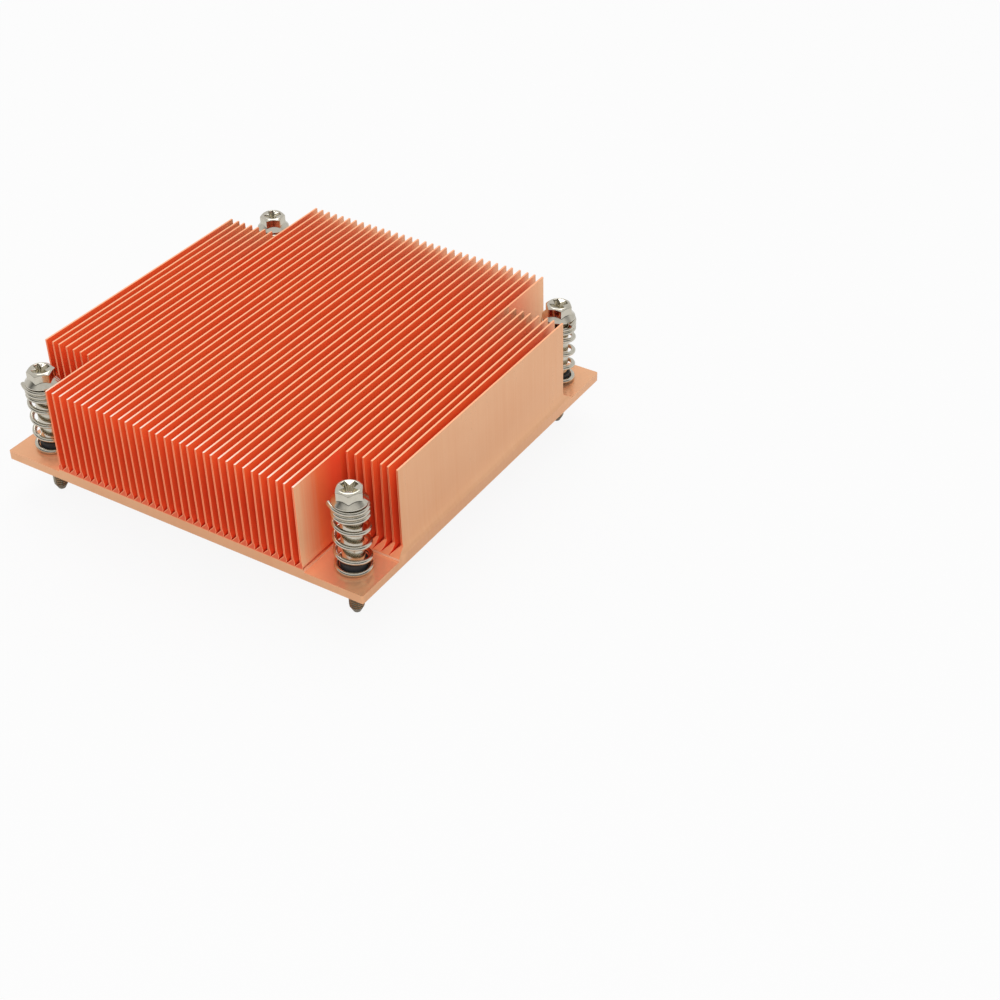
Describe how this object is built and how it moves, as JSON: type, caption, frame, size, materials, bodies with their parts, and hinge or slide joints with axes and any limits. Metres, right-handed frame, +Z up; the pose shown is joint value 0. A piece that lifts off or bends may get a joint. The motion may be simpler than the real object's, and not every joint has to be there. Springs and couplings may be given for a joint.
{
  "type": "passive processor heatsink",
  "caption": "Low-profile passive copper heatsink of skived fins on a square plate, with a sprung mounting screw at each corner and a flat contact face below.",
  "frame": {"origin": "centre of the flat contact face under the plate", "axes": "+Z up out of the fins, fins run along Y and stand in a row along X"},
  "size_m": [0.0878, 0.0878, 0.0301],
  "materials": {
    "copper": "bare skived copper, satin",
    "screw_steel": "nickel plate, bright",
    "spring_steel": "nickel plate, bright",
    "clip_steel": "spring steel, satin",
    "black_nylon": "moulded, matt"
  },
  "bodies": {
    "heatsink": {"heatsink_body": "copper", "guide_sleeve_front_right": "black_nylon", "guide_sleeve_front_left": "black_nylon", "guide_sleeve_rear_left": "black_nylon", "guide_sleeve_rear_right": "black_nylon", "spring_front_right": "spring_steel", "spring_front_left": "spring_steel", "spring_rear_left": "spring_steel", "spring_rear_right": "spring_steel"},
    "clip_front_right": {"retaining_clip_front_right": "clip_steel"},
    "clip_front_left": {"retaining_clip_front_left": "clip_steel"},
    "clip_rear_left": {"retaining_clip_rear_left": "clip_steel"},
    "clip_rear_right": {"retaining_clip_rear_right": "clip_steel"},
    "screw_front_right": {"screw_front_right": "screw_steel"},
    "screw_front_left": {"screw_front_left": "screw_steel"},
    "screw_rear_left": {"screw_rear_left": "screw_steel"},
    "screw_rear_right": {"screw_rear_right": "screw_steel"}
  },
  "joints": [
    {"name": "press_front_right", "type": "slide", "parent": "heatsink", "child": "clip_front_right", "axis": [0, 0, -1], "range_m": [0, 0.006], "stiffness_N_per_m": 7000, "springref_m": -0.0015, "deforming": ["spring_front_right"]},
    {"name": "press_front_left", "type": "slide", "parent": "heatsink", "child": "clip_front_left", "axis": [0, 0, -1], "range_m": [0, 0.006], "stiffness_N_per_m": 7000, "springref_m": -0.0015, "deforming": ["spring_front_left"]},
    {"name": "press_rear_left", "type": "slide", "parent": "heatsink", "child": "clip_rear_left", "axis": [0, 0, -1], "range_m": [0, 0.006], "stiffness_N_per_m": 7000, "springref_m": -0.0015, "deforming": ["spring_rear_left"]},
    {"name": "press_rear_right", "type": "slide", "parent": "heatsink", "child": "clip_rear_right", "axis": [0, 0, -1], "range_m": [0, 0.006], "stiffness_N_per_m": 7000, "springref_m": -0.0015, "deforming": ["spring_rear_right"]},
    {"name": "turn_front_right", "type": "hinge", "parent": "clip_front_right", "child": "screw_front_right", "pos_m": [0.0375, -0.0375, 0], "axis": [0, 0, 1], "continuous": true},
    {"name": "turn_front_left", "type": "hinge", "parent": "clip_front_left", "child": "screw_front_left", "pos_m": [-0.0375, -0.0375, 0], "axis": [0, 0, 1], "continuous": true},
    {"name": "turn_rear_left", "type": "hinge", "parent": "clip_rear_left", "child": "screw_rear_left", "pos_m": [-0.0375, 0.0375, 0], "axis": [0, 0, 1], "continuous": true},
    {"name": "turn_rear_right", "type": "hinge", "parent": "clip_rear_right", "child": "screw_rear_right", "pos_m": [0.0375, 0.0375, 0], "axis": [0, 0, 1], "continuous": true}
  ]
}
